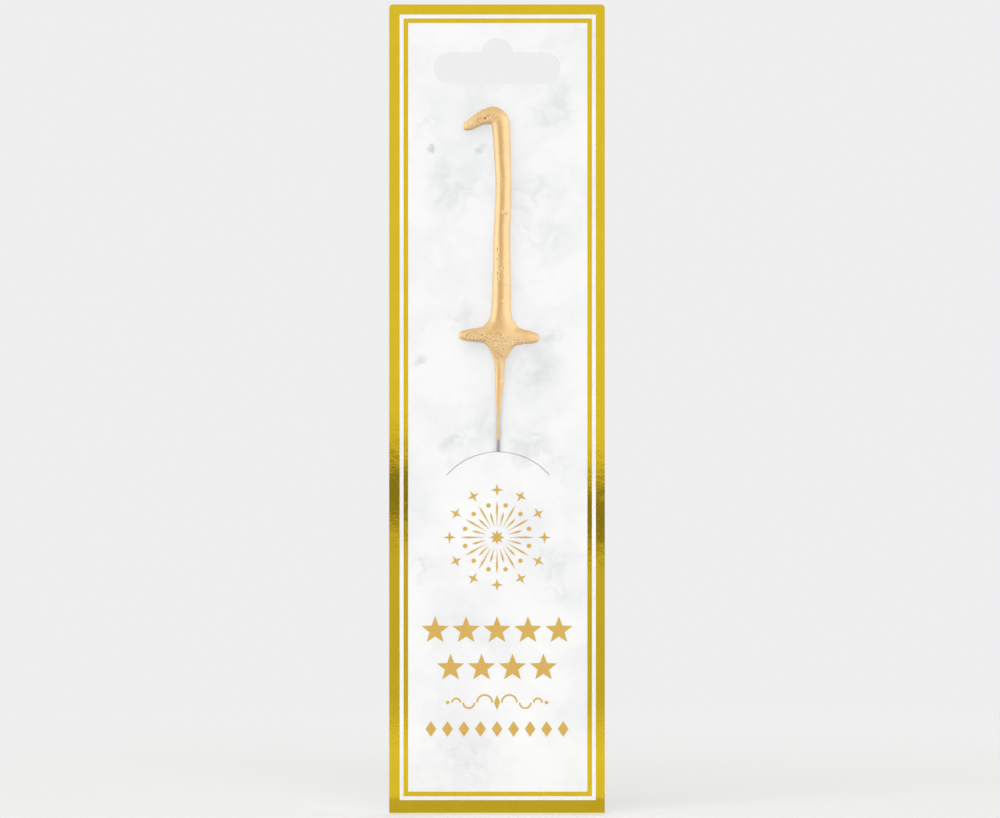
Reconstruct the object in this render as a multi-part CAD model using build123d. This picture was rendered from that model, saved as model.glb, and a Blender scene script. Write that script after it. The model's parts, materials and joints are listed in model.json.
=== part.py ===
from build123d import *
import math
import os

# Hang card. The origin is the centre of the round bump of the hang slot, at mid thickness.
card_width = 60.0
card_height = 225.0
card_thickness = 0.5
card_top = 14.0
card_corner_radius = 1.0

# Euro hang slot: a long slot with a round bump above it for the display hook.
slot_length = 35.3
slot_width = 8.65
slot_drop = 3.74
bump_radius = 4.5

# Curved slit and the tab of card below it, hinged along the straight line between the slit's ends.
slit_radius = 19.0
slit_chord = 28.7
slit_apex_drop = 110.5
slit_x = 0.3
slit_kerf = 0.15
hinge_clearance = 0.09
dent_wall = 0.4
dent_spread = 14.0

# Hot-stamped foil frames, slightly out of register with the card.
foil_thickness = 0.04
outer_foil_side = 2.7
outer_foil_end = 3.2
foil_gap = 1.1
inner_foil_width = 1.25
foil_shift_x = 0.2
foil_shift_z = 0.4

# Printed ornaments, stacked up from the card's lower edge. The burst fills the space below the tab.
ink_thickness = 0.04
burst_rays = 24
burst_below_tab = 1.9
burst_above_stars = 6.9
star_radius = 4.0
star_count = 5
star_gap = 1.0
star_row_gap = 2.4
stars_above_scroll = 3.3
scroll_radius = 2.1
scroll_line = 0.5
scroll_above_lozenges = 2.8
lozenge_width = 3.0
lozenge_height = 4.4
lozenge_count = 9
lozenge_gap = 1.6
lozenge_margin = 21.2

# Wires. The stick slants through the slit, behind the tab, and its hidden tail leans a little.
wire_diameter = 0.7
stick_x = 0.35
stick_clearance = 0.25
numeral_clearance = 0.4
neck_bend_drop = 19.5
neck_lean = 1.8
tail_bend_drop = 10.0
tail_lean = 1.2
tail_length = 53.0
stick_bend_radius = 30.0
wire_cover = 1.0
weld_radius = 0.6
weld_gap = 0.02

# Numeral, measured from the crossing of its stem and foot. Thicknesses are over the gold coat.
foot_height = 38.9
foot_bend_radius = 6.0
foot_left = 11.6
foot_right = 10.9
foot_slope = 2.25
foot_thickness = 5.0
foot_tip_thickness = 2.8
foot_tip_round = 1.0
stem_height = 63.0
stem_top_x = 0.31
stem_kink_height = 43.0
stem_kink_x = 0.73
stem_kink_radius = 60.0
stem_flare_height = 10.0
stem_foot_diameter = 5.1
stem_middle_height = 25.0
stem_middle_diameter = 4.5
stem_waist_diameter = 4.15
stem_shoulder_height = 54.5
stem_shoulder_diameter = 4.4
stem_top_diameter = 3.9
flag_length = 11.6
flag_drop = 24.0
flag_inside_radius = 0.15
flag_tip_diameter = 3.1
flag_tip_round = 0.9

# Composition around the crossing and on the stick below it, and the gold coat over it.
web_reach = 5.2
web_depth = 2.6
web_rise = 0.6
neck_diameter = 3.2
neck_drop = 6.0
drip_diameter = 2.25
drip_drop = 11.5
taper_diameter = 1.3
taper_drop = 18.0
coat_drop = 22.0
coat_feather = 0.05
lacquer_thickness = 0.08
lacquer_drop = 27.0

half_card = card_thickness / 2
wire_radius = wire_diameter / 2
card_centre_z = card_top - card_height / 2
half_chord = slit_chord / 2
slit_centre_drop = math.sqrt(slit_radius**2 - half_chord**2)
slit_rise = slit_radius - slit_centre_drop
hinge = Vector(slit_x, 0, -slit_apex_drop - slit_rise)
front = Plane(origin=(0, -half_card, 0), x_dir=(1, 0, 0), z_dir=(0, -1, 0))

# The stick runs parallel to the raised tab, one clearance behind it, and slants just enough to hold
# the numeral clear of the card's front.
lean = math.radians(neck_lean)
stick_offset = half_card + stick_clearance + wire_radius
stem_offset = half_card + numeral_clearance + stem_foot_diameter / 2
foot_run = foot_height - neck_bend_drop * (1 - math.cos(lean))
tilt = math.atan2(stick_offset, foot_run) + math.asin(stem_offset / math.hypot(stick_offset, foot_run))
up_stick = Vector(0, -math.sin(tilt), math.cos(tilt))
behind_tab = Vector(0, math.cos(tilt), math.sin(tilt))


def leaning(degrees):
    return up_stick * math.cos(math.radians(degrees)) + Vector(math.sin(math.radians(degrees)), 0, 0)


up_neck = leaning(neck_lean)
up_tail = leaning(tail_lean)
stick_at_hinge = Vector(stick_x, 0, hinge.Z) + behind_tab * stick_offset
tail_bend = stick_at_hinge - up_stick * tail_bend_drop
tail_end = tail_bend - up_tail * tail_length
neck_bend = stick_at_hinge + up_stick * (foot_height - neck_bend_drop)
foot = neck_bend + up_neck * neck_bend_drop

kink = foot + Vector(stem_kink_x, 0, stem_kink_height)
corner = foot + Vector(stem_top_x, 0, stem_height)
flag_slope = math.radians(flag_drop)
flag_way = Vector(-math.cos(flag_slope), 0, -math.sin(flag_slope))
flag_end = corner + flag_way * flag_length
stem_way = (corner - kink).normalized()
flag_turn = stem_way.get_angle(flag_way)
flag_bend_radius = stem_top_diameter / 2 + flag_inside_radius
bend_reach = flag_bend_radius * math.tan(math.radians(flag_turn / 2))
bend_start = corner - stem_way * bend_reach
bend_end = corner + flag_way * bend_reach

lozenge_z = card_top - card_height + lozenge_margin + lozenge_height / 2
scroll_half = scroll_radius + scroll_line / 2
scroll_z = lozenge_z + lozenge_height / 2 + scroll_above_lozenges + scroll_half
lower_star_z = scroll_z + scroll_half + stars_above_scroll + star_radius
upper_star_z = lower_star_z + 2 * star_radius + star_row_gap
burst_foot_z = upper_star_z + star_radius + burst_above_stars
burst_top_z = hinge.Z - half_card - hinge_clearance - burst_below_tab
frame_half = card_width / 2 - outer_foil_side - foil_gap - inner_foil_width
burst_radius = min((burst_top_z - burst_foot_z) / 2, frame_half - burst_above_stars)

foot_angle = math.radians(foot_slope)
foot_way = Vector(math.cos(foot_angle), 0, -math.sin(foot_angle))
foot_centre = foot - Vector(0, wire_diameter + weld_gap, 0)
crossing = (foot + foot_centre) * 0.5


def slit_segment(extra):
    disc = Pos(hinge.X, hinge.Z - slit_centre_drop) * Circle(slit_radius + extra)
    above = Pos(hinge.X, hinge.Z + slit_radius) * Rectangle(4 * slit_radius, 2 * slit_radius)
    return disc & above


def hinge_rod(radius, length):
    return Pos(hinge.X, 0, hinge.Z) * Rot(0, 90, 0) * Cylinder(radius, length)


def card_outline():
    plain = Pos(0, card_centre_z) * Rectangle(card_width, card_height)
    return fillet(plain.vertices().group_by(Axis.Y)[-1], card_corner_radius)


def hang_slot():
    long_slot = Pos(0, -slot_drop) * SlotOverall(slot_length, slot_width)
    return long_slot + Circle(bump_radius)


def slit_dent():
    # A shallow cone pressed into the card by the stick. Its back line has the stick's slope.
    apex_run = (slit_rise - behind_tab.Z * stick_offset) / up_stick.Z
    stick_back = behind_tab.Y * stick_offset + up_stick.Y * apex_run + wire_radius / math.cos(tilt)
    depth = half_card + stick_back + lacquer_thickness + stick_clearance
    length = depth / math.tan(tilt)
    spread = math.radians(dent_spread)
    way = Vector(0, math.sin(tilt - spread), -math.cos(tilt - spread))
    height = length + slit_rise / 4
    middle_x = stick_x + (tail_bend_drop + apex_run) * math.tan(math.radians(tail_lean)) / 2
    tip = Plane(origin=(middle_x, -half_card, length - slit_apex_drop), z_dir=way)
    up = (Align.CENTER, Align.CENTER, Align.MIN)
    hollow = tip * Cone(0, height * math.tan(spread), height, align=up)
    bulge = Pos(0, dent_wall, 0) * hollow
    behind = Pos(middle_x, -half_card, -slit_apex_drop) * Box(
        4 * height, 4 * height, 4 * height, align=(Align.CENTER, Align.MIN, Align.CENTER)
    )
    return bulge & behind, hollow


def backing_card():
    sheet = extrude(Plane.XZ * (card_outline() - hang_slot()), amount=half_card, both=True)
    bulge, hollow = slit_dent()
    window = slit_segment(slit_kerf)
    window_half = math.sqrt((slit_radius + slit_kerf) ** 2 - slit_centre_drop**2)
    groove = hinge_rod(half_card + hinge_clearance, 2 * window_half)
    return sheet + bulge - hollow - extrude(Plane.XZ * window, amount=10 * card_thickness, both=True) - groove


def retaining_tab():
    tongue = extrude(Plane.XZ * slit_segment(0), amount=half_card, both=True)
    tongue = tongue + hinge_rod(half_card, slit_chord - 4 * card_thickness)
    return tongue.rotate(Axis(hinge, (1, 0, 0)), math.degrees(tilt))


def foil_window():
    wide = card_width - 2 * outer_foil_side
    tall = card_height - 2 * outer_foil_end
    return wide, tall, Pos(foil_shift_x, card_centre_z + foil_shift_z)


def outer_foil_border():
    wide, tall, place = foil_window()
    return extrude(front * (card_outline() - place * Rectangle(wide, tall)), amount=foil_thickness)


def inner_foil_border():
    wide, tall, place = foil_window()
    wide = wide - 2 * foil_gap
    tall = tall - 2 * foil_gap
    hole = Rectangle(wide - 2 * inner_foil_width, tall - 2 * inner_foil_width)
    return extrude(front * (place * (Rectangle(wide, tall) - hole)), amount=foil_thickness)


def star(points, outer, inner):
    corners = []
    for i in range(2 * points):
        reach = outer if i % 2 == 0 else inner
        turn = math.pi / 2 + i * math.pi / points
        corners.append((reach * math.cos(turn), reach * math.sin(turn)))
    return make_face(Polyline(*corners, close=True))


def row(shape, count, spacing, height):
    return [Pos((i - (count - 1) / 2) * spacing, height) * shape for i in range(count)]


def print_on_card(shapes):
    return Compound([extrude(front * shape, amount=ink_thickness) for shape in shapes])


def printed_burst():
    # A rosette of straight rays, long and short by turns, with a spark at each long ray's end.
    centre = Pos(0, (burst_top_z + burst_foot_z) / 2)
    burst_hub = burst_radius * 0.2
    spark_radius = burst_radius * 0.12
    long_ray = burst_radius - 2.6 * spark_radius - burst_hub
    shapes = [centre * star(8, burst_hub * 0.7, burst_hub * 0.35)]
    for i in range(burst_rays):
        length = long_ray if i % 2 == 0 else long_ray * 0.6
        half_width = burst_hub * 0.1
        near = (burst_hub, 0)
        far = (burst_hub + length, 0)
        middle = burst_hub + length * 0.7
        ray = make_face(Polyline(near, (middle, half_width), far, (middle, -half_width), close=True))
        turn = centre * Rot(0, 0, i * 360 / burst_rays)
        shapes.append(turn * ray)
        if i % 2 == 0:
            shapes.append(turn * Pos(burst_radius - spark_radius, 0) * star(4, spark_radius, spark_radius * 0.3))
        else:
            shapes.append(turn * Pos(burst_hub + length + spark_radius, 0) * Circle(spark_radius * 0.35))
    return print_on_card(shapes)


def printed_stars():
    shape = star(5, star_radius, star_radius * 0.42)
    spacing = 2 * star_radius * math.cos(math.pi / 10) + star_gap
    upper = row(shape, star_count, spacing, upper_star_z)
    lower = row(shape, star_count - 1, spacing, lower_star_z)
    return print_on_card(upper + lower)


def half_ring(radius, side):
    ring = Circle(radius + scroll_line / 2) - Circle(radius - scroll_line / 2)
    return ring & Pos(0, side * radius) * Rectangle(4 * radius, 2 * radius)


def printed_scroll():
    # Half rings that shrink outwards from a small lozenge, the same on both sides.
    shapes = [star(2, scroll_radius, scroll_radius * 0.4)]
    for side in (-1, 1):
        reach = scroll_radius * 0.4 + scroll_line
        up = 1
        for size in (1.0, 0.75, 0.55):
            radius = scroll_radius * size
            shapes.append(Pos(side * (reach + radius), 0) * half_ring(radius, up))
            reach = reach + 2 * radius + scroll_line * 1.5
            up = -up
        shapes.append(Pos(side * (reach + scroll_line), 0) * Circle(scroll_line))
    return print_on_card([Pos(0, scroll_z) * shape for shape in shapes])


def printed_lozenges():
    half_wide = lozenge_width / 2
    half_tall = lozenge_height / 2
    shape = make_face(Polyline((half_wide, 0), (0, half_tall), (-half_wide, 0), (0, -half_tall), close=True))
    return print_on_card(row(shape, lozenge_count, lozenge_width + lozenge_gap, lozenge_z))


def core_wire():
    flag_wire_end = flag_end - flag_way * wire_cover
    points = (tail_end, tail_bend, neck_bend, foot, kink, corner, flag_wire_end)
    bends = (stick_bend_radius, stick_bend_radius, foot_bend_radius, stem_kink_radius, flag_bend_radius)
    path = FilletPolyline(*points, radius=bends)
    return sweep(Plane(origin=tail_end, z_dir=up_tail) * Circle(wire_radius), path=path)


def cross_wire():
    start = foot_centre - foot_way * (foot_left - wire_cover)
    length = foot_left + foot_right - 2 * wire_cover
    return extrude(Plane(origin=start, z_dir=foot_way) * Circle(wire_radius), amount=length)


def spot_weld(stick, bar):
    return Pos(crossing) * Sphere(weld_radius) - stick - bar


def round_ended_cone(start, way, near, far, length, round_off):
    up = (Align.CENTER, Align.CENTER, Align.MIN)
    cone = Cone(near, far, length, align=up)
    return Plane(origin=start, z_dir=way) * fillet(cone.edges().group_by(Axis.Z)[-1], round_off)


def stem_coat(grow):
    low_way = (kink - foot).normalized()
    flare = foot + low_way * stem_flare_height
    middle = foot + low_way * stem_middle_height
    shoulder = kink + stem_way * (stem_shoulder_height - stem_kink_height)
    stations = [
        (foot, low_way, stem_foot_diameter),
        (flare, low_way, stem_foot_diameter),
        (middle, low_way, stem_middle_diameter),
        (kink, (low_way + stem_way).normalized(), stem_waist_diameter),
        (shoulder, stem_way, stem_shoulder_diameter),
        (bend_start, stem_way, stem_top_diameter),
    ]
    return loft([Plane(origin=at, z_dir=way) * Circle(size / 2 + grow) for at, way, size in stations])


def flag_coat(grow):
    radius = stem_top_diameter / 2 + grow
    axis_way = stem_way.cross(flag_way).normalized()
    pivot = bend_start + axis_way.cross(stem_way) * flag_bend_radius
    end = Plane(origin=bend_start, z_dir=stem_way) * Circle(radius)
    bend = revolve(end, Axis(pivot, axis_way), flag_turn)
    length = flag_length - bend_reach + grow
    arm = round_ended_cone(bend_end, flag_way, radius, flag_tip_diameter / 2 + grow, length, flag_tip_round)
    return bend + arm


def foot_coat(grow):
    near = foot_thickness / 2 + grow
    far = foot_tip_thickness / 2 + grow
    left = round_ended_cone(foot_centre, -foot_way, near, far, foot_left + grow, foot_tip_round)
    right = round_ended_cone(foot_centre, foot_way, near, far, foot_right + grow, foot_tip_round)
    return left + right


def web_coat(grow):
    # The thick lens of composition that fills the corners of the crossing.
    place = Plane(origin=crossing + Vector(0, 0, web_rise))
    reach = web_reach + grow
    half = Ellipse(reach, web_depth + grow) & Pos(reach, 0) * Rectangle(2 * reach, 4 * web_depth)
    return place * revolve(half, Axis.Y)


def drip_coat(grow):
    end_diameter = wire_diameter + 2 * (lacquer_thickness + coat_feather)
    stations = [
        (0, (neck_diameter + stem_foot_diameter) / 2),
        (neck_drop, neck_diameter),
        (drip_drop, drip_diameter),
        (taper_drop, taper_diameter),
        (coat_drop, end_diameter),
    ]
    sections = []
    for drop, size in stations:
        above = min(drop, neck_bend_drop)
        at = foot - up_neck * above - up_stick * (drop - above)
        sections.append(Plane(origin=at, z_dir=up_stick) * Circle(size / 2 + grow))
    return loft(sections)


def coat(grow):
    return stem_coat(grow) + flag_coat(grow) + foot_coat(grow) + web_coat(grow) + drip_coat(grow)


def gold_lacquer(core, stick):
    skin_plane = Plane(origin=neck_bend, z_dir=-up_stick)
    skin = extrude(skin_plane * Circle(wire_radius + lacquer_thickness), amount=lacquer_drop - neck_bend_drop)
    return coat(0) + skin - core - stick


stick_wire = core_wire()
foot_wire = cross_wire()
weld = spot_weld(stick_wire, foot_wire)
core = coat(-lacquer_thickness)

pieces = {
    "backing_card": backing_card(),
    "retaining_tab": retaining_tab(),
    "outer_foil_border": outer_foil_border(),
    "inner_foil_border": inner_foil_border(),
    "printed_burst": printed_burst(),
    "printed_stars": printed_stars(),
    "printed_scroll": printed_scroll(),
    "printed_lozenges": printed_lozenges(),
    "core_wire": stick_wire,
    "cross_wire": foot_wire,
    "spot_weld": weld,
    "composition": core - stick_wire - foot_wire - weld,
    "gold_lacquer": gold_lacquer(core, stick_wire),
}

os.makedirs("parts", exist_ok=True)
for name, piece in pieces.items():
    export_step(piece, "parts/" + name + ".step")
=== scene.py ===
import json
import math

import bmesh
import bpy
from mathutils import Euler, Matrix, Vector, noise


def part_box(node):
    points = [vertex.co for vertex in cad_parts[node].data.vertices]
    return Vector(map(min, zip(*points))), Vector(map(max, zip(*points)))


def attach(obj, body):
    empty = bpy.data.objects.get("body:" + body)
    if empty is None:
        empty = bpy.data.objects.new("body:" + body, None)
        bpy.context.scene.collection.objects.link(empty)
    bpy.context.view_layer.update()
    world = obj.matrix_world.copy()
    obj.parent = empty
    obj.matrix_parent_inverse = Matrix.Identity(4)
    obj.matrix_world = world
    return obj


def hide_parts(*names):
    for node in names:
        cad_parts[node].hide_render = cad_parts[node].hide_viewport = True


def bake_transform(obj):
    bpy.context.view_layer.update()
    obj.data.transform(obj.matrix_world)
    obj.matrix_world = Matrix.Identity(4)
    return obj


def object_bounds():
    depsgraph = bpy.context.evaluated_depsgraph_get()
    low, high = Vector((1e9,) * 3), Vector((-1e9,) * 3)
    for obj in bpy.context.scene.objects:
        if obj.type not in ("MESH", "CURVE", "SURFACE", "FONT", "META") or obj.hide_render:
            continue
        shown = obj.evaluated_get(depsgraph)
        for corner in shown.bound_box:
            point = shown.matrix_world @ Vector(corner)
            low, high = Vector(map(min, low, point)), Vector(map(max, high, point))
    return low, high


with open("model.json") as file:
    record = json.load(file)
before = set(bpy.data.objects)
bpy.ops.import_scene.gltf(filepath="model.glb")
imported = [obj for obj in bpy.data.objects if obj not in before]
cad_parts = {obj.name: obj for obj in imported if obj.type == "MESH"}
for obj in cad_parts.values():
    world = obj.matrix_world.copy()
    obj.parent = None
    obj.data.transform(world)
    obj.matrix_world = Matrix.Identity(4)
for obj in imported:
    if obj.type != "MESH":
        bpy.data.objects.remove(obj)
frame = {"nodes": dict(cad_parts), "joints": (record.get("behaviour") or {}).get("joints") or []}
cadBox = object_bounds()
nodes = frame["nodes"]
joints = {joint["name"]: joint for joint in frame["joints"]}
scene = bpy.context.scene
scene.view_settings.view_transform = "Standard"
mm = 0.001
print("frame loaded:", len(nodes), "nodes")


def hexColour(text):
    parts = [int(text[i:i + 2], 16) / 255 for i in (0, 2, 4)]
    linear = [p / 12.92 if p <= 0.04045 else ((p + 0.055) / 1.055) ** 2.4 for p in parts]
    return (*linear, 1.0)


def addNode(tree, kind, inputs=None, **settings):
    node = tree.nodes.new(kind)
    for name, value in settings.items():
        setattr(node, name, value)
    for name, value in (inputs or {}).items():
        if isinstance(value, bpy.types.NodeSocket):
            tree.links.new(value, node.inputs[name])
        else:
            node.inputs[name].default_value = value
    return node


def newMaterial(name):
    material = bpy.data.materials.new(name)
    material.use_nodes = True
    tree = material.node_tree
    tree.nodes.clear()
    output = addNode(tree, "ShaderNodeOutputMaterial")
    place = addNode(tree, "ShaderNodeTexCoord").outputs["Object"]
    return material, tree, output, place


def newPiece(bm, name, material=None, smooth=True):
    mesh = bpy.data.meshes.new(name)
    bm.to_mesh(mesh)
    bm.free()
    if material:
        mesh.materials.append(material)
    for face in mesh.polygons:
        face.use_smooth = smooth
    piece = bpy.data.objects.new(name, mesh)
    scene.collection.objects.link(piece)
    return piece


def finishedMesh(piece):  # the piece's mesh with its modifiers, as a fresh bmesh
    ready = piece.evaluated_get(bpy.context.evaluated_depsgraph_get())
    bm = bmesh.new()
    bm.from_mesh(ready.to_mesh())
    ready.to_mesh_clear()
    return bm


def dropPiece(piece):
    mesh = piece.data
    bpy.data.objects.remove(piece)
    bpy.data.meshes.remove(mesh)


def bell(away, spread):
    return math.exp(-(away / spread) ** 2)


# camera, square to the card, framed as the photograph
view = {"lens": 200, "sensor": 36, "pixels": (1000, 818), "width": 278.3 * mm,
        "x": 0.83 * mm, "z": -98.57 * mm}
cameraData = bpy.data.cameras.new("photoCamera")
cameraData.lens = view["lens"]
cameraData.sensor_width = view["sensor"]
distance = view["width"] * view["lens"] / view["sensor"]
camera = bpy.data.objects.new("photoCamera", cameraData)
camera.location = (view["x"], -distance, view["z"])
camera.rotation_euler = (math.radians(90), 0, 0)
scene.collection.objects.link(camera)
scene.camera = camera
print("camera at", round(distance, 3), "m")

# white board, offset printed with a faint grey marble under a satin coating
# stains: x, z, reach in mm and how grey
board = {"white": "FBFBFB", "grey": "D5D9DB", "veil": 19.0, "drift": 8.0, "swirl": 11.0, "wisp": 5.0,
         "fibre": 0.5, "thick": 0.5, "frontFacing": 0.6, "sharp": 35,
         "stains": [(-18.4, -26.5, 2.2, 1.6), (-4.5, -26.5, 2.1, 1.4), (-20.0, -20.0, 5.0, 0.35),
                    (-13.0, -37.5, 12.0, 0.4), (10.6, -39.0, 11.0, 0.4), (10.9, -50.0, 10.0, 0.4),
                    (15.6, -14.0, 9.0, 0.35), (-10.6, -73.2, 5.5, 0.6), (15.6, -78.8, 3.6, 0.8),
                    (-21.7, -84.4, 2.6, 0.7), (9.2, -88.3, 12.0, 0.4), (-13.6, -107.4, 4.5, 0.7),
                    (-11.7, -108.6, 9.0, 0.4), (9.5, -108.6, 10.0, 0.45), (-3.6, -103.0, 11.0, 0.3),
                    (15.9, -114.2, 9.0, 0.35), (-20.6, -142.5, 6.5, 0.5), (15.6, -142.0, 11.0, 0.4),
                    (16.4, -150.3, 9.0, 0.35), (-8.1, -197.1, 15.0, 0.35)]}
boardMaterial, tree, output, place = newMaterial("coatedBoardMarblePrint")
drift = addNode(tree, "ShaderNodeTexNoise", {"Vector": place, "Scale": 1 / (board["drift"] * mm),
                                             "Detail": 4.0, "Roughness": 0.6})
drift = addNode(tree, "ShaderNodeVectorMath", {0: drift.outputs["Color"], 1: (0.5, 0.5, 0.5)},
                operation="SUBTRACT")
swirl = (board["swirl"] * mm, 0, board["swirl"] * mm)
moved = addNode(tree, "ShaderNodeVectorMath", {0: drift.outputs["Vector"], 1: swirl, 2: place},
                operation="MULTIPLY_ADD").outputs["Vector"]
veil = addNode(tree, "ShaderNodeTexNoise", {"Vector": moved, "Scale": 1 / (board["veil"] * mm),
                                            "Detail": 9.0, "Roughness": 0.6})
veil = addNode(tree, "ShaderNodeMapRange", {"Value": veil.outputs["Fac"], "From Min": 0.4, "From Max": 0.7,
                                            "To Min": 0.0, "To Max": 0.4})
wisp = addNode(tree, "ShaderNodeTexNoise", {"Vector": moved, "Scale": 1 / (board["wisp"] * mm),
                                            "Detail": 6.0, "Roughness": 0.65, "Distortion": 0.8})
wisp = addNode(tree, "ShaderNodeMapRange", {"Value": wisp.outputs["Fac"], "From Min": 0.4, "From Max": 0.62,
                                            "To Min": 0.2, "To Max": 1.0}, interpolation_type="SMOOTHSTEP")
front = -board["thick"] / 2
stain = 0.0
for x, z, reach, strength in board["stains"]:
    away = addNode(tree, "ShaderNodeVectorMath", {0: moved, 1: (x * mm, front * mm, z * mm)},
                   operation="DISTANCE")
    spot = addNode(tree, "ShaderNodeMapRange", {"Value": away.outputs["Value"], "From Min": reach * mm,
                                                "From Max": 0.0, "To Min": 0.0, "To Max": strength},
                   interpolation_type="SMOOTHSTEP")
    stain = addNode(tree, "ShaderNodeMath", {0: stain, 1: spot.outputs["Result"]},
                    operation="MAXIMUM").outputs[0]
marble = addNode(tree, "ShaderNodeMath", {0: stain, 1: wisp.outputs["Result"], 2: veil.outputs["Result"]},
                 operation="MULTIPLY_ADD", use_clamp=True)
tone = addNode(tree, "ShaderNodeMix", {"Factor": marble.outputs[0], "A": hexColour(board["white"]),
                                       "B": hexColour(board["grey"])}, data_type="RGBA")
fibre = addNode(tree, "ShaderNodeTexNoise", {"Vector": place, "Scale": 1 / (board["fibre"] * mm),
                                             "Detail": 4.0})
bump = addNode(tree, "ShaderNodeBump", {"Height": fibre.outputs["Fac"], "Strength": 0.06,
                                        "Distance": 0.05 * mm})
shader = addNode(tree, "ShaderNodeBsdfPrincipled", {"Base Color": tone.outputs["Result"], "Roughness": 0.42,
                                                    "Normal": bump.outputs["Normal"]})
tree.links.new(shader.outputs["BSDF"], output.inputs["Surface"])

# the board's bare side and cut edges: matt pulp, warm white with faint fibres that run across the card
pulp = {"colour": "EBE9E4", "fibre": "DEDAD2", "size": 0.6, "stretch": 0.35}
pulpMaterial, tree, output, place = newMaterial("barePulpBoard")
stretch = addNode(tree, "ShaderNodeMapping", {"Vector": place, "Scale": (pulp["stretch"], 1.0, 1.0)})
fibre = addNode(tree, "ShaderNodeTexNoise", {"Vector": stretch.outputs["Vector"], "Detail": 6.0,
                                             "Scale": 1 / (pulp["size"] * mm), "Roughness": 0.65})
tone = addNode(tree, "ShaderNodeMix", {"Factor": fibre.outputs["Fac"], "A": hexColour(pulp["colour"]),
                                       "B": hexColour(pulp["fibre"])}, data_type="RGBA")
bump = addNode(tree, "ShaderNodeBump", {"Height": fibre.outputs["Fac"], "Strength": 0.25,
                                        "Distance": 0.08 * mm})
shader = addNode(tree, "ShaderNodeBsdfPrincipled", {"Base Color": tone.outputs["Result"], "Roughness": 0.88,
                                                    "Normal": bump.outputs["Normal"]})
tree.links.new(shader.outputs["BSDF"], output.inputs["Surface"])

# card: die-cut slab, in mm; slot is its length, height and middle, hair a small allowance
cardLow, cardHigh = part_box("backing_card")
card = {"width": round((cardHigh.x - cardLow.x) / mm, 2), "height": round((cardHigh.z - cardLow.z) / mm, 2),
        "top": round(cardHigh.z / mm, 2), "corner": 1.0, "slot": (35.3, 8.65, -3.74), "bump": 4.5,
        "slitRadius": 19.0, "slitApex": -110.5, "slitX": 0.3, "kerf": 0.26, "shut": 0.005, "hair": 0.01,
        "cutter": 3}
# stick: a point on its middle line, how far it leans back per mm down, its radius and the room that it needs
stick = {"x": 0.35, "y": -3.2, "z": -78.279, "lean": 0.1046, "radius": 0.35, "room": 0.12}
hinge = Vector(joints["tab_hinge"]["pos_m"]) / mm


def plate(width, height, middle, corner, segments, roundFoot=True):
    bm = bmesh.new()
    bmesh.ops.create_grid(bm, x_segments=1, y_segments=1, size=0.5)
    bmesh.ops.scale(bm, vec=(width, height, 1), verts=bm.verts)
    bmesh.ops.translate(bm, vec=(0, middle, 0), verts=bm.verts)
    corners = [v for v in bm.verts if roundFoot or v.co.y > middle]
    bmesh.ops.bevel(bm, geom=corners, offset=corner, affect="VERTICES", segments=segments, profile=0.5,
                    material=-1)
    return bm


def disc(x, z, radius, segments):
    bm = bmesh.new()
    bmesh.ops.create_circle(bm, cap_ends=True, segments=segments, radius=radius)
    bmesh.ops.translate(bm, vec=(x, z, 0), verts=bm.verts)
    return bm


def tongue():  # the round segment above the hinge line
    bm = disc(card["slitX"], card["slitApex"] - card["slitRadius"], card["slitRadius"], segments=256)
    everything = bm.verts[:] + bm.edges[:] + bm.faces[:]
    bmesh.ops.bisect_plane(bm, geom=everything, plane_co=(0, hinge.z, 0), plane_no=(0, 1, 0),
                           clear_inner=True)
    return bm


def wedgeRim(bm, side):  # the die's knife leaves a cut that is open at the front and shut at the back
    centre = Vector((card["slitX"], 0, card["slitApex"] - card["slitRadius"]))
    for v in bm.verts:
        if v.co.z > hinge.z + card["hair"]:
            opening = card["kerf"] / 2 * (0.5 - v.co.y / board["thick"]) + card["shut"]
            outward = Vector((v.co.x, 0, v.co.z)) - centre
            v.co += outward.normalized() * opening * side


def prism(name, bm, thick):  # a flat outline made a solid that stands in the card's plane
    bmesh.ops.rotate(bm, matrix=Matrix.Rotation(math.radians(90), 3, "X"), verts=bm.verts)
    raised = bmesh.ops.extrude_face_region(bm, geom=bm.faces[:])
    risen = [v for v in raised["geom"] if isinstance(v, bmesh.types.BMVert)]
    bmesh.ops.translate(bm, vec=(0, thick, 0), verts=risen)
    bmesh.ops.translate(bm, vec=(0, -thick / 2, 0), verts=bm.verts)
    bmesh.ops.recalc_face_normals(bm, faces=bm.faces)
    return newPiece(bm, name, smooth=False)


def stickDepth(z):  # where the stick's middle is at a height
    return stick["y"] + (stick["z"] - z) * stick["lean"]


def anywhere(point):
    return True


def evenly(first, step, count):
    return [first + step * i for i in range(count)]


def cutLines(bm, axis, places, near):  # lines across the faces, so that they can bend there
    direction = Vector((axis == "x", 0, axis == "z"))
    for along in places:
        faces = [f for f in bm.faces if near(f.calc_center_median())]
        geom = list(dict.fromkeys(part for f in faces for part in (*f.verts, *f.edges, f)))
        bmesh.ops.bisect_plane(bm, geom=geom, plane_co=direction * along, plane_no=direction)


def boardPiece(bm, name):  # print on the front, pulp on the back and the cut edges
    bm.normal_update()
    for face in bm.faces:
        face.material_index = 0 if face.normal.y < -board["frontFacing"] else 1
    bmesh.ops.scale(bm, vec=(mm, mm, mm), verts=bm.verts)
    piece = newPiece(bm, name, boardMaterial)
    piece.data.materials.append(pulpMaterial)
    piece.data.set_sharp_from_angle(angle=math.radians(board["sharp"]))
    return piece


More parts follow.
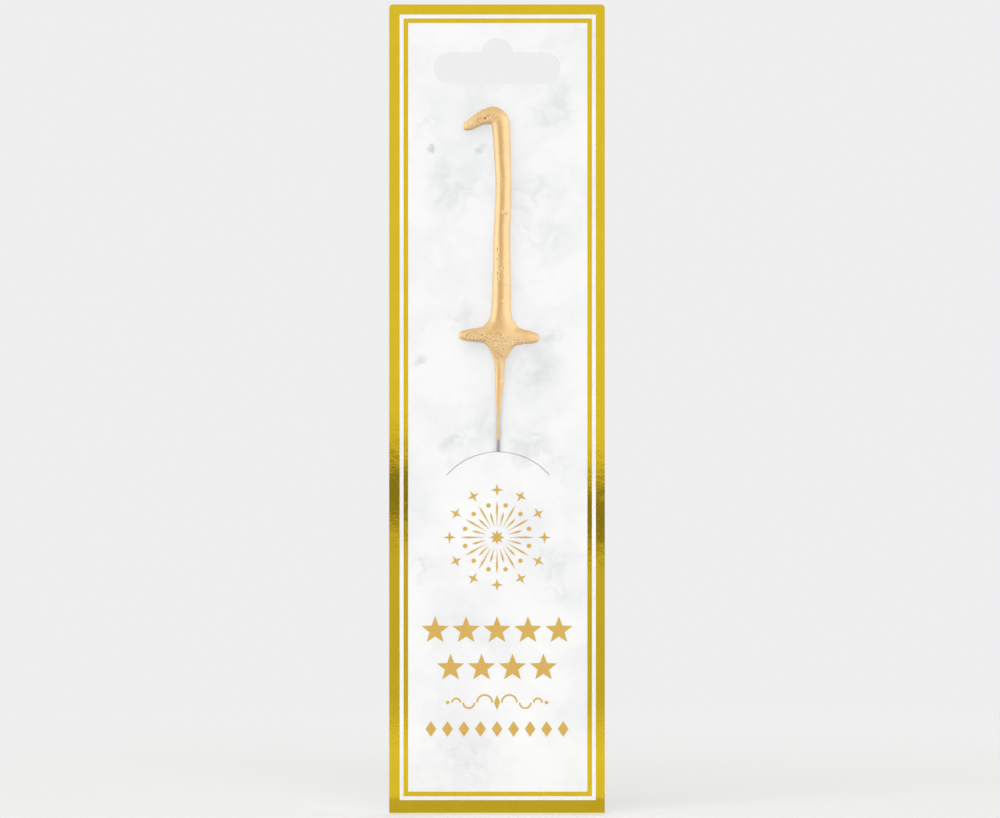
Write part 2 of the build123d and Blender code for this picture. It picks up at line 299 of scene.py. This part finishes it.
middle = card["top"] - card["height"] / 2
blank = plate(card["width"], card["height"], middle, card["corner"], segments=6, roundFoot=False)
slab = prism("slab", blank, board["thick"])
length, tall, middle = card["slot"]
slotEnd = tall / 2 - card["hair"]
cutters = [prism("slotCutter", plate(length, tall, middle, slotEnd, segments=16), card["cutter"]),
           prism("bumpCutter", disc(0, 0, card["bump"], segments=64), card["cutter"]),
           prism("slitCutter", tongue(), card["cutter"])]
bm = finishedMesh(cutters[2])
wedgeRim(bm, 1)
bm.to_mesh(cutters[2].data)
bm.free()
for cutter in cutters:
    cut = slab.modifiers.new(cutter.name, "BOOLEAN")
    cut.operation = "DIFFERENCE"
    cut.solver = "EXACT"
    cut.object = cutter
bm = finishedMesh(slab)
for spare in (slab, *cutters):
    dropPiece(spare)
bmesh.ops.triangulate(bm, faces=bm.faces)

# the card is pressed back above the slit, where the stick goes in behind the tab; lines: first, step, count
press = {"spread": 1.3, "left": -4.5, "right": 5.2, "top": -102.5, "bottom": -112.5,
         "upright": (-4.2, 0.35, 27), "level": (-111.0, 0.5, 17)}


def nearSlit(point):
    return press["left"] < point.x < press["right"] and press["bottom"] < point.z < press["top"]


cutLines(bm, "x", (press["left"], press["right"]), anywhere)
cutLines(bm, "z", (press["top"], press["bottom"]), anywhere)
cutLines(bm, "x", evenly(*press["upright"]), nearSlit)
cutLines(bm, "z", evenly(*press["level"]), nearSlit)
for v in bm.verts:
    if press["bottom"] < v.co.z < press["top"]:
        deep = stickDepth(v.co.z) + stick["radius"] + stick["room"] + board["thick"] / 2
        v.co.y += max(0, deep) * bell(v.co.x - stick["x"], press["spread"])
cardBoard = boardPiece(bm, "card_board")
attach(cardBoard, "card")
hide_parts("backing_card")

# tab: the tongue of board in front of the stick, which bows it out
bow = {"spread": 5.0, "upright": (-13.5, 0.6, 47), "level": (hinge.z, 0.3, 22), "bend": 1.5}
tabBlank = prism("tabBlank", tongue(), board["thick"])
bm = finishedMesh(tabBlank)
dropPiece(tabBlank)
wedgeRim(bm, -1)
bmesh.ops.triangulate(bm, faces=bm.faces)
cutLines(bm, "z", evenly(*bow["level"])[1:], anywhere)  # the first is the hinge line, an edge already
cutLines(bm, "x", evenly(*bow["upright"]), anywhere)
for v in bm.verts:
    out = board["thick"] / 2 - (stickDepth(v.co.z) - stick["radius"] - stick["room"])
    v.co.y -= max(0, out) * bell(v.co.x - stick["x"], bow["spread"])
cardTab = boardPiece(bm, "card_tab")
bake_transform(cardTab)
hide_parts("retaining_tab")
print("card and tab cut")

# hot-stamped gold film: a mirror of thin metal over the paper's tooth, drawn coarse enough to show
foil = {"colour": "EBCB30", "deep": "E3C02A", "roughness": (0.015, 0.04), "tooth": 0.5, "wave": 6.0}
foilMaterial, tree, output, place = newMaterial("hotStampedGoldFilm")
tooth = addNode(tree, "ShaderNodeTexNoise", {"Vector": place, "Scale": 1 / (foil["tooth"] * mm),
                                             "Detail": 3.0})
wave = addNode(tree, "ShaderNodeTexNoise", {"Vector": place, "Scale": 1 / (foil["wave"] * mm), "Detail": 2.0})
tone = addNode(tree, "ShaderNodeMix", {"Factor": wave.outputs["Fac"], "A": hexColour(foil["colour"]),
                                       "B": hexColour(foil["deep"])}, data_type="RGBA")
toothBump = addNode(tree, "ShaderNodeBump", {"Height": tooth.outputs["Fac"], "Strength": 0.032,
                                             "Distance": 0.1 * mm})
waveBump = addNode(tree, "ShaderNodeBump", {"Height": wave.outputs["Fac"], "Strength": 0.04,
                                            "Distance": 0.3 * mm, "Normal": toothBump.outputs["Normal"]})
rough = addNode(tree, "ShaderNodeMapRange", {"Value": tooth.outputs["Fac"], "From Min": 0.3, "From Max": 0.7,
                                             "To Min": foil["roughness"][0], "To Max": foil["roughness"][1]})
shader = addNode(tree, "ShaderNodeBsdfPrincipled", {"Base Color": tone.outputs["Result"], "Metallic": 1.0,
                                                    "Roughness": rough.outputs["Result"],
                                                    "Normal": waveBump.outputs["Normal"]})
tree.links.new(shader.outputs["BSDF"], output.inputs["Surface"])
for name in ("outer_foil_border", "inner_foil_border"):
    nodes[name].data.materials[0] = foilMaterial

# ochre gold ink, offset printed: satin, slightly mottled
ink = {"colour": "DFB553", "deep": "D3A747", "mottle": 0.8}
inkMaterial, tree, output, place = newMaterial("ochreGoldInk")
mottle = addNode(tree, "ShaderNodeTexNoise", {"Vector": place, "Scale": 1 / (ink["mottle"] * mm),
                                              "Detail": 4.0})
tone = addNode(tree, "ShaderNodeMix", {"Factor": mottle.outputs["Fac"], "A": hexColour(ink["colour"]),
                                       "B": hexColour(ink["deep"])}, data_type="RGBA")
shader = addNode(tree, "ShaderNodeBsdfPrincipled", {"Base Color": tone.outputs["Result"], "Roughness": 0.5})
tree.links.new(shader.outputs["BSDF"], output.inputs["Surface"])
for name in ("printed_burst", "printed_stars", "printed_scroll", "printed_lozenges"):
    nodes[name].data.materials[0] = inkMaterial

# drawn steel wire: dull grey, with fine lines along its length
wire = {"colour": "B0B1AE", "deep": "979895", "line": 0.08, "drawn": 0.03, "roughness": (0.28, 0.5)}
wireMaterial, tree, output, place = newMaterial("drawnSteelWire")
squeeze = addNode(tree, "ShaderNodeMapping", {"Vector": place, "Scale": (1.0, 1.0, wire["drawn"])})
lines = addNode(tree, "ShaderNodeTexNoise", {"Vector": squeeze.outputs["Vector"], "Detail": 2.0,
                                             "Scale": 1 / (wire["line"] * mm)})
tone = addNode(tree, "ShaderNodeMix", {"Factor": lines.outputs["Fac"], "A": hexColour(wire["colour"]),
                                       "B": hexColour(wire["deep"])}, data_type="RGBA")
rough = addNode(tree, "ShaderNodeMapRange", {"Value": lines.outputs["Fac"], "To Min": wire["roughness"][0],
                                             "To Max": wire["roughness"][1]})
shader = addNode(tree, "ShaderNodeBsdfPrincipled", {"Base Color": tone.outputs["Result"], "Metallic": 1.0,
                                                    "Roughness": rough.outputs["Result"]})
tree.links.new(shader.outputs["BSDF"], output.inputs["Surface"])
for name in ("core_wire", "cross_wire"):
    nodes[name].data.materials[0] = wireMaterial

# spot weld: the same steel burnt dark and rough
weld = {"colour": "7A7772", "burn": "57524C", "size": 0.25}
weldMaterial, tree, output, place = newMaterial("burntWeldSteel")
burn = addNode(tree, "ShaderNodeTexNoise", {"Vector": place, "Scale": 1 / (weld["size"] * mm), "Detail": 3.0})
tone = addNode(tree, "ShaderNodeMix", {"Factor": burn.outputs["Fac"], "A": hexColour(weld["colour"]),
                                       "B": hexColour(weld["burn"])}, data_type="RGBA")
shader = addNode(tree, "ShaderNodeBsdfPrincipled", {"Base Color": tone.outputs["Result"], "Metallic": 0.8,
                                                    "Roughness": 0.6})
tree.links.new(shader.outputs["BSDF"], output.inputs["Surface"])
nodes["spot_weld"].data.materials[0] = weldMaterial
print("foil, ink, wires and weld finished")

# gold lacquer over the dipped mass: metal flake, drawn coarse enough to show, in a clear film of soft gloss
# it is speckled and duller where it dried over coarse grains; painted shade makes it dark brown in its dents
# and where it faces down
lacquer = {"colour": "F6D196", "deep": "EAC080", "pale": "FFE6B4", "brown": "CB9A50", "hollow": "6E4A1E",
           "flake": 0.4, "pool": 3.0, "roughness": (0.38, 0.5), "dull": 0.12}
lacquerMaterial, tree, output, place = newMaterial("goldFlakeLacquer")
grain = addNode(tree, "ShaderNodeAttribute", attribute_name="grain").outputs["Fac"]
hollow = addNode(tree, "ShaderNodeAttribute", attribute_name="hollow").outputs["Fac"]
flake = addNode(tree, "ShaderNodeTexNoise", {"Vector": place, "Scale": 1 / (lacquer["flake"] * mm),
                                             "Detail": 3.0}).outputs["Fac"]
pool = addNode(tree, "ShaderNodeTexNoise", {"Vector": place, "Scale": 1 / (lacquer["pool"] * mm),
                                            "Detail": 3.0})
tone = addNode(tree, "ShaderNodeMix", {"Factor": pool.outputs["Fac"], "A": hexColour(lacquer["colour"]),
                                       "B": hexColour(lacquer["deep"])}, data_type="RGBA")
speckle = addNode(tree, "ShaderNodeMapRange", {"Value": flake, "From Min": 0.46, "From Max": 0.58})
speckle = addNode(tree, "ShaderNodeMath", {0: speckle.outputs["Result"], 1: grain}, operation="MULTIPLY")
tone = addNode(tree, "ShaderNodeMix", {"Factor": speckle.outputs[0], "A": tone.outputs["Result"],
                                       "B": hexColour(lacquer["pale"])}, data_type="RGBA")
gap = addNode(tree, "ShaderNodeMapRange", {"Value": flake, "From Min": 0.46, "From Max": 0.36})
gap = addNode(tree, "ShaderNodeMath", {0: gap.outputs["Result"], 1: grain}, operation="MULTIPLY")
tone = addNode(tree, "ShaderNodeMix", {"Factor": gap.outputs[0], "A": tone.outputs["Result"],
                                       "B": hexColour(lacquer["brown"])}, data_type="RGBA")
# painted shade: dark brown in the dents and on the undersides, from the attribute that markCoat writes
tone = addNode(tree, "ShaderNodeMix", {"Factor": hollow, "A": tone.outputs["Result"],
                                       "B": hexColour(lacquer["hollow"])}, data_type="RGBA")
rough = addNode(tree, "ShaderNodeMapRange", {"Value": flake, "From Min": 0.3, "From Max": 0.7,
                                             "To Min": lacquer["roughness"][0],
                                             "To Max": lacquer["roughness"][1]})
rough = addNode(tree, "ShaderNodeMath", {0: grain, 1: lacquer["dull"], 2: rough.outputs["Result"]},
                operation="MULTIPLY_ADD")
relief = addNode(tree, "ShaderNodeMapRange", {"Value": grain, "To Min": 0.1, "To Max": 1.0})
bump = addNode(tree, "ShaderNodeBump", {"Height": flake, "Strength": relief.outputs["Result"],
                                        "Distance": 0.12 * mm})
shader = addNode(tree, "ShaderNodeBsdfPrincipled", {"Base Color": tone.outputs["Result"], "Metallic": 1.0,
                                                    "Roughness": rough.outputs[0], "Coat Weight": 1.0,
                                                    "Coat Roughness": 0.3, "Normal": bump.outputs["Normal"]})
tree.links.new(shader.outputs["BSDF"], output.inputs["Surface"])

# coat: rings up the stem from the wire to the tip of the flag, and along the foot, in mm
# stem: x, y, z, half width, half depth, turn in degrees; foot: x, z, half height, half depth
# crossX and crossZ bound the place where stem and foot run together
coat = {"voxel": 0.144, "sides": 28, "thinnest": 0.25, "smooth": 5, "settle": 90, "crossX": (-6.5, 8.5),
        "crossZ": (-91, -69), "footY": -3.65,
        "stem": [(0.35, -0.17, -107.2, 0.42, 0.42, 0), (0.36, -0.55, -103.6, 0.45, 0.45, 0),
                 (0.40, -0.88, -100.5, 0.52, 0.50, 0), (0.43, -1.05, -98.9, 0.62, 0.58, 0),
                 (0.50, -1.34, -96.1, 0.86, 0.80, 0), (0.55, -1.63, -93.3, 1.10, 1.03, 0),
                 (0.60, -1.81, -91.6, 1.26, 1.18, 0), (0.68, -2.21, -87.7, 1.48, 1.40, 0),
                 (0.78, -2.50, -85.0, 1.76, 1.60, 0), (0.98, -2.70, -84.0, 2.36, 1.90, 0),
                 (0.94, -2.95, -83.0, 2.78, 2.15, 0), (0.95, -3.15, -82.0, 3.30, 2.34, 0),
                 (1.10, -3.30, -81.2, 4.08, 2.45, 0), (1.20, -3.40, -80.4, 4.90, 2.55, 0),
                 (1.00, -3.40, -78.2, 5.30, 2.60, 0), (0.80, -3.40, -76.0, 5.20, 2.55, 0),
                 (1.05, -3.35, -74.9, 4.40, 2.50, 0), (1.15, -3.30, -74.0, 3.60, 2.45, 0),
                 (1.15, -3.25, -72.7, 3.08, 2.40, 0), (1.20, -3.20, -70.5, 2.86, 2.42, 0),
                 (1.27, -3.20, -67.1, 2.70, 2.40, 0), (1.31, -3.20, -58.8, 2.50, 2.28, 0),
                 (1.38, -3.20, -50.4, 2.34, 2.18, 0), (1.62, -3.20, -43.8, 2.33, 2.16, 0),
                 (1.82, -3.20, -35.4, 2.26, 2.06, 0), (1.58, -3.20, -29.5, 2.34, 2.12, 0),
                 (1.38, -3.20, -24.0, 2.42, 2.20, 0), (1.20, -3.20, -21.4, 2.54, 2.25, 10),
                 (1.05, -3.20, -19.5, 2.64, 2.28, 23), (0.52, -3.20, -18.07, 2.62, 2.30, 40),
                 (-0.57, -3.20, -17.25, 2.66, 2.30, 58), (-1.90, -3.20, -17.05, 2.66, 2.25, 76),
                 (-3.20, -3.10, -17.3, 2.29, 2.10, 92), (-4.65, -2.95, -17.9, 1.95, 1.95, 106),
                 (-6.20, -2.80, -18.8, 1.75, 1.80, 114), (-7.50, -2.65, -19.6, 1.55, 1.60, 112),
                 (-8.55, -2.55, -20.0, 1.28, 1.30, 106), (-9.15, -2.50, -20.15, 1.00, 0.95, 100),
                 (-9.40, -2.50, -20.2, 0.55, 0.50, 96)],
        "foot": [(-10.66, -78.10, 0.40, 0.40), (-10.45, -78.10, 0.88, 0.85), (-10.00, -78.10, 1.20, 1.25),
                 (-9.30, -78.15, 1.46, 1.55), (-8.10, -78.10, 1.74, 1.85), (-6.96, -78.05, 1.90, 1.95),
                 (-4.73, -78.00, 2.20, 2.10), (-1.50, -77.90, 2.45, 2.40), (1.00, -78.00, 2.55, 2.75),
                 (4.00, -78.20, 2.60, 2.22), (6.37, -78.40, 2.45, 1.78), (7.18, -78.50, 2.28, 1.63),
                 (9.16, -78.65, 1.90, 1.27), (10.52, -78.75, 1.52, 1.03), (11.13, -78.80, 1.30, 0.90),
                 (11.69, -78.78, 0.90, 0.65), (11.96, -78.80, 0.40, 0.30)]}


def between(rows, steps=4):  # a smooth run of rings through the measured ones
    rows = [rows[0], *rows, rows[-1]]
    run = []
    for before, start, end, after in zip(rows, rows[1:], rows[2:], rows[3:]):
        for t in (step / steps for step in range(steps)):
            run.append([q + 0.5 * t * (r - p + t * (2 * p - 5 * q + 4 * r - s + t * (3 * (q - r) + s - p)))
                        for p, q, r, s in zip(before, start, end, after)])
    return run + [rows[-1]]


def ring(centre, turn, wide, deep):
    size = Matrix.Diagonal((max(wide, coat["thinnest"]), max(deep, coat["thinnest"]), 1, 1))
    return Matrix.Translation(centre) @ Matrix.Rotation(-math.radians(turn), 4, "Y") @ size


def loft(bm, rings):  # a closed tube through the rings
    bmesh.ops.create_circle(bm, cap_ends=True, segments=coat["sides"], radius=1, matrix=rings[0])
    bm.faces.ensure_lookup_table()
    cap = bm.faces[-1]
    for before, after in zip(rings, rings[1:]):
        raised = bmesh.ops.extrude_face_region(bm, geom=[cap])["geom"]
        cap = next(part for part in raised if isinstance(part, bmesh.types.BMFace))
        bmesh.ops.transform(bm, matrix=after @ before.inverted(), verts=cap.verts)


def evenOut(bm, verts, times):
    for _ in range(times):
        bmesh.ops.smooth_vert(bm, verts=verts, factor=0.5, use_axis_x=True, use_axis_y=True, use_axis_z=True)


def atCrossing(point):
    left, right = coat["crossX"]
    bottom, top = coat["crossZ"]
    return left < point.x < right and bottom < point.z < top


def dippedForm(name, voxel, inset=0, lowest=-math.inf):
    bm = bmesh.new()
    loft(bm, [ring((x, y, z), turn, wide - inset, deep - inset)
              for x, y, z, wide, deep, turn in between(coat["stem"]) if z >= lowest])
    loft(bm, [ring((x, coat["footY"], z), 90, tall - inset, deep - inset)
              for x, z, tall, deep in between(coat["foot"])])
    bmesh.ops.recalc_face_normals(bm, faces=bm.faces)
    blank = newPiece(bm, name + "Blank")
    remesh = blank.modifiers.new("skin", "REMESH")
    remesh.mode = "VOXEL"
    remesh.voxel_size = voxel
    bm = finishedMesh(blank)
    dropPiece(blank)
    evenOut(bm, bm.verts, coat["smooth"])
    evenOut(bm, [v for v in bm.verts if atCrossing(v.co)], coat["settle"])
    return bm


# marks on the front of the coat: x, z, half width, half height in mm
# and how far each spot stands out (a spot that sinks in also gets painted shade), or how grainy each rough
# place dried
marks = {"lumps": 0.06, "lumpSize": 4.0, "dimples": 0.4, "dimpleSize": 1.4, "grain": 0.13, "grainSize": 0.55,
         "leastGrain": 0.06, "undersideShade": 0.8, "under": 0.5, "fullShade": 0.5, "reach": 3, "evenFrom": -100,
         "evenOver": 8, "leastRelief": 0.1,
         "spots": [(-3.30, -18.05, 0.50, 0.34, -0.52), (-3.45, -17.3, 0.70, 0.35, 0.14),
                   (2.00, -44.0, 0.38, 0.65, 0.34), (2.60, -44.4, 0.26, 0.55, -0.26),
                   (0.22, -54.3, 0.20, 0.60, -0.26), (0.30, -57.0, 0.24, 0.36, -0.28),
                   (0.28, -61.0, 0.22, 0.50, -0.26), (0.36, -62.5, 0.22, 0.34, -0.22),
                   (1.50, -59.4, 0.25, 0.40, -0.18), (0.50, -57.2, 0.22, 0.30, 0.16),
                   (0.52, -61.1, 0.20, 0.40, 0.14), (1.15, -34.8, 0.22, 0.34, -0.14),
                   (1.20, -36.3, 0.20, 0.34, -0.14), (1.28, -37.8, 0.22, 0.44, -0.12),
                   (1.42, -68.7, 0.26, 0.30, 0.22), (2.30, -63.9, 0.55, 0.20, 0.12),
                   (5.90, -80.7, 0.50, 0.22, -0.36), (7.00, -80.7, 0.60, 0.20, -0.42),
                   (8.20, -80.6, 0.50, 0.20, -0.34), (0.30, -83.3, 0.28, 0.25, -0.34),
                   (0.90, -84.0, 0.22, 0.28, -0.32), (0.12, -84.7, 0.20, 0.45, -0.30),
                   (0.28, -86.2, 0.18, 0.90, -0.26)],
         "rough": [(-2.2, -18.4, 2.6, 1.7, 1.0), (-6.8, -19.3, 3.0, 1.6, 1.0), (-5.0, -78.6, 5.5, 1.6, 1.0),
                   (0.2, -80.2, 3.0, 2.4, 1.0), (0.4, -84.0, 1.4, 2.4, 0.7), (6.5, -79.9, 4.5, 0.9, 0.9),
                   (0.5, -58.5, 0.5, 5.0, 0.3), (1.2, -36.5, 0.4, 3.0, 0.3), (1.0, -73.5, 0.6, 2.0, 0.35)]}


def graininess(x, z):
    return max(strength * bell(x - cx, wide) * bell(z - cz, tall)
               for cx, cz, wide, tall, strength in marks["rough"])


def markCoat(bm):
    bm.normal_update()
    grain = bm.verts.layers.float.new("grain")
    hollow = bm.verts.layers.float.new("hollow")
    reach = marks["reach"]
    moves = []
    for v in bm.verts:
        p = v.co
        facing = max(0.0, -v.normal.y)
        v[grain] = facing * graininess(p.x, p.z)
        # painted shade: surfaces of the coat that face down are darkened to brown
        v[hollow] = marks["undersideShade"] * max(0.0, -v.normal.z - marks["under"])
        out = marks["lumps"] * noise.noise(p / marks["lumpSize"])
        out += marks["dimples"] * marks["lumps"] * noise.noise(p / marks["dimpleSize"])
        out += marks["grain"] * (marks["leastGrain"] + v[grain]) * noise.noise(p / marks["grainSize"])
        for x, z, wide, tall, high in marks["spots"]:
            if abs(p.z - z) < reach * tall and abs(p.x - x) < reach * wide:
                rise = facing * high * bell(p.x - x, wide) * bell(p.z - z, tall)
                # painted shade: a spot that sinks in is darkened brown by its depth
                v[hollow] = max(v[hollow], (rise / marks["fullShade"]) ** 2 * (rise < 0))
                out += rise
        thin = (p.z - marks["evenFrom"]) / marks["evenOver"]  # the thin end on the wire stays even
        moves.append(v.normal * out * min(1.0, max(marks["leastRelief"], thin)))
    for v, move in zip(bm.verts, moves):
        v.co += move


bm = dippedForm("coat", coat["voxel"])
markCoat(bm)
print("coat:", len(bm.verts), "points")
bmesh.ops.scale(bm, vec=(mm, mm, mm), verts=bm.verts)
goldCoat = newPiece(bm, "gold_coat", lacquerMaterial)
goldCoat.visible_diffuse = False  # the photograph shows no gold glow on the card
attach(goldCoat, "sparkler")
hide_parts("gold_lacquer")

# dipped mass under the lacquer: hard grey, full of metal grains
mass = {"colour": "75726C", "grain": "9A968E", "size": 0.3, "under": 0.5, "lowest": -98, "voxel": 0.25}
massMaterial, tree, output, place = newMaterial("dippedSparklerMass")
grains = addNode(tree, "ShaderNodeTexVoronoi", {"Vector": place, "Scale": 1 / (mass["size"] * mm)})
tone = addNode(tree, "ShaderNodeMix", {"Factor": grains.outputs["Distance"], "A": hexColour(mass["grain"]),
                                       "B": hexColour(mass["colour"])}, data_type="RGBA")
bump = addNode(tree, "ShaderNodeBump", {"Height": grains.outputs["Distance"], "Strength": 0.4,
                                        "Distance": 0.1 * mm})
shader = addNode(tree, "ShaderNodeBsdfPrincipled", {"Base Color": tone.outputs["Result"], "Roughness": 0.75,
                                                    "Normal": bump.outputs["Normal"]})
tree.links.new(shader.outputs["BSDF"], output.inputs["Surface"])
bm = dippedForm("mass", mass["voxel"], mass["under"], mass["lowest"])
bmesh.ops.scale(bm, vec=(mm, mm, mm), verts=bm.verts)
dippedMass = newPiece(bm, "dipped_mass", massMaterial)
dippedMass.visible_diffuse = False
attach(dippedMass, "sparkler")
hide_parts("composition")
print("sparkler dipped")


def seenDirectly(tree):  # 1 for what the camera sees, also mirrored or through glass, 0 for other light
    path = addNode(tree, "ShaderNodeLightPath")
    seen = path.outputs["Is Camera Ray"]
    for ray in ("Is Glossy Ray", "Is Transmission Ray"):
        either = addNode(tree, "ShaderNodeMath", {0: seen, 1: path.outputs[ray]}, operation="MAXIMUM")
        seen = either.outputs[0]
    return seen


# light: pale surroundings, one large softbox in front, high on the left, and a weaker one for the back
light = {"fill": 0.46, "pale": 0.86, "front": 1.44, "back": 1.0, "width": 2.2, "height": 1.7,
         "aside": 0.35, "off": 1.35, "up": 0.5, "aim": (0, 0, -0.09)}
world = bpy.data.worlds.new("paleStudio")
world.use_nodes = True
tree = world.node_tree
tree.nodes.clear()
output = addNode(tree, "ShaderNodeOutputWorld")
fill = addNode(tree, "ShaderNodeBackground", {"Color": (1, 1, 1, 1), "Strength": light["fill"]})
pale = addNode(tree, "ShaderNodeBackground", {"Color": (1, 1, 1, 1), "Strength": light["pale"]})
mix = addNode(tree, "ShaderNodeMixShader", {0: seenDirectly(tree), 1: fill.outputs[0], 2: pale.outputs[0]})
tree.links.new(mix.outputs[0], output.inputs["Surface"])
scene.world = world


def softbox(name, place, strength):
    lampData = bpy.data.lights.new(name, "AREA")
    lampData.shape = "RECTANGLE"
    lampData.size = light["width"]
    lampData.size_y = light["height"]
    lampData.energy = strength * math.pi * light["width"] * light["height"]
    lamp = bpy.data.objects.new(name, lampData)
    lamp.location = place
    lamp.rotation_euler = (Vector(light["aim"]) - Vector(place)).to_track_quat("-Z", "Y").to_euler()
    lamp.visible_glossy = False  # the metal mirrors the cards instead
    scene.collection.objects.link(lamp)


softbox("frontSoftbox", (-light["aside"], -light["off"], light["up"]), light["front"])
softbox("backSoftbox", (light["aside"], light["off"], light["up"]), light["back"])


# reflection cards: what the foil and the gold coat mirror
def reflectionCard(name, centre, width, height, turn, strength, tint):
    material, tree, output = newMaterial(name + "Glow")[:3]
    shader = addNode(tree, "ShaderNodeEmission", {"Color": hexColour(tint), "Strength": strength})
    tree.links.new(shader.outputs[0], output.inputs["Surface"])
    bm = bmesh.new()
    bmesh.ops.create_grid(bm, x_segments=1, y_segments=1, size=0.5)
    bmesh.ops.scale(bm, vec=(width, height, 1), verts=bm.verts)
    facing = Euler([math.radians(angle) for angle in turn]).to_matrix().to_4x4()
    bmesh.ops.transform(bm, matrix=Matrix.Translation(centre) @ facing, verts=bm.verts)
    panel = newPiece(bm, name, material, smooth=False)
    panel.visible_camera = False
    panel.visible_diffuse = False
    panel.visible_shadow = False


# a dark band between two pixel rows of the photograph's foil, and a paler panel that shows below it
band = {"topRow": 474, "bottomRow": 536, "behind": 0.2, "wide": 0.3, "roll": 6.5, "dark": 0.28,
        "low": 0.66, "lowTall": 0.6, "lowDrop": 0.25, "lowBehind": 0.01}
panelY = -distance - band["behind"]
columns, rows = view["pixels"]
panelPixel = (1 - panelY / distance) * view["width"] / columns  # metres of panel that a pixel of foil mirrors
zTop = view["z"] - (band["topRow"] - rows / 2) * panelPixel
zBottom = view["z"] - (band["bottomRow"] - rows / 2) * panelPixel

# name: centre, width and height in metres, turn in degrees, brightness, tint
white, cool, warm = "FFFFFF", "F0F3FF", "FFE7AC"
upright, rolled, sideways, flat = (90, 0, 0), (90, band["roll"], 0), (90, 0, 90), (0, 0, 0)
mirror = {"bandPanel": ((0, panelY, (zTop + zBottom) / 2), band["wide"], zTop - zBottom,
                        rolled, band["dark"], white),
          "lowPanel": ((0, panelY - band["lowBehind"], zBottom - band["lowDrop"]), band["wide"],
                       band["lowTall"], rolled, band["low"], white),
          "frontCard": ((0, -0.032, cadBox[0].z), 0.3, 0.058, flat, 0.62, white),
          "leftPanel": ((-1.0, -0.25, 0), 1.65, 1.6, sideways, 1.75, cool),
          "rightPanel": ((1.0, -1.45, 0), 4.1, 1.6, sideways, 1.6, cool),
          "roomLeft": ((-1.05, panelY, 0), 1.8, 1.0, upright, 0.48, warm),
          "roomRight": ((0.32, panelY, 0), 0.34, 1.0, upright, 0.48, warm),
          "highPanel": ((0, -1.5, 0.95), 1.8, 0.8, (58, 0, 0), 0.95, white),
          "rightBounce": ((0.45, -0.4, -0.2), 0.74, 1.0, flat, 1.1, cool)}
for name, settings in mirror.items():
    reflectionCard(name, *settings)

# floor: matt white paper that fades into the background, in metres, with its tooth and drop in mm
ground = {"colour": "F8F8F7", "lift": 0.11, "radius": 0.7, "fade": (0.3, 0.65), "tooth": 0.8, "drop": 0.3}
floorMaterial, tree, output, place = newMaterial("paperFloor")
tooth = addNode(tree, "ShaderNodeTexNoise", {"Vector": place, "Scale": 1 / (ground["tooth"] * mm),
                                             "Detail": 3.0})
bump = addNode(tree, "ShaderNodeBump", {"Height": tooth.outputs["Fac"], "Strength": 0.05,
                                        "Distance": 0.1 * mm})
shader = addNode(tree, "ShaderNodeBsdfPrincipled", {"Base Color": hexColour(ground["colour"]),
                                                    "Roughness": 0.9, "Specular IOR Level": 0.0,
                                                    "Normal": bump.outputs["Normal"]})
lift = addNode(tree, "ShaderNodeMath", {0: seenDirectly(tree), 1: ground["lift"]}, operation="MULTIPLY")
glow = addNode(tree, "ShaderNodeEmission", {"Color": (1, 1, 1, 1), "Strength": lift.outputs[0]})
paper = addNode(tree, "ShaderNodeAddShader", {0: shader.outputs[0], 1: glow.outputs[0]})
clear = addNode(tree, "ShaderNodeBsdfTransparent")
far = addNode(tree, "ShaderNodeVectorMath", {0: place}, operation="LENGTH")
fade = addNode(tree, "ShaderNodeMapRange", {"Value": far.outputs["Value"], "From Min": ground["fade"][0],
                                            "From Max": ground["fade"][1]}, interpolation_type="SMOOTHSTEP")
mix = addNode(tree, "ShaderNodeMixShader", {0: fade.outputs["Result"], 1: paper.outputs[0],
                                            2: clear.outputs[0]})
tree.links.new(mix.outputs[0], output.inputs["Surface"])
bm = bmesh.new()
bmesh.ops.create_circle(bm, cap_ends=True, cap_tris=True, segments=96, radius=ground["radius"])
bmesh.ops.translate(bm, vec=(0, 0, cadBox[0].z - ground["drop"] * mm), verts=bm.verts)
floor = newPiece(bm, "floor", floorMaterial, smooth=False)
print("light, panels and floor placed")
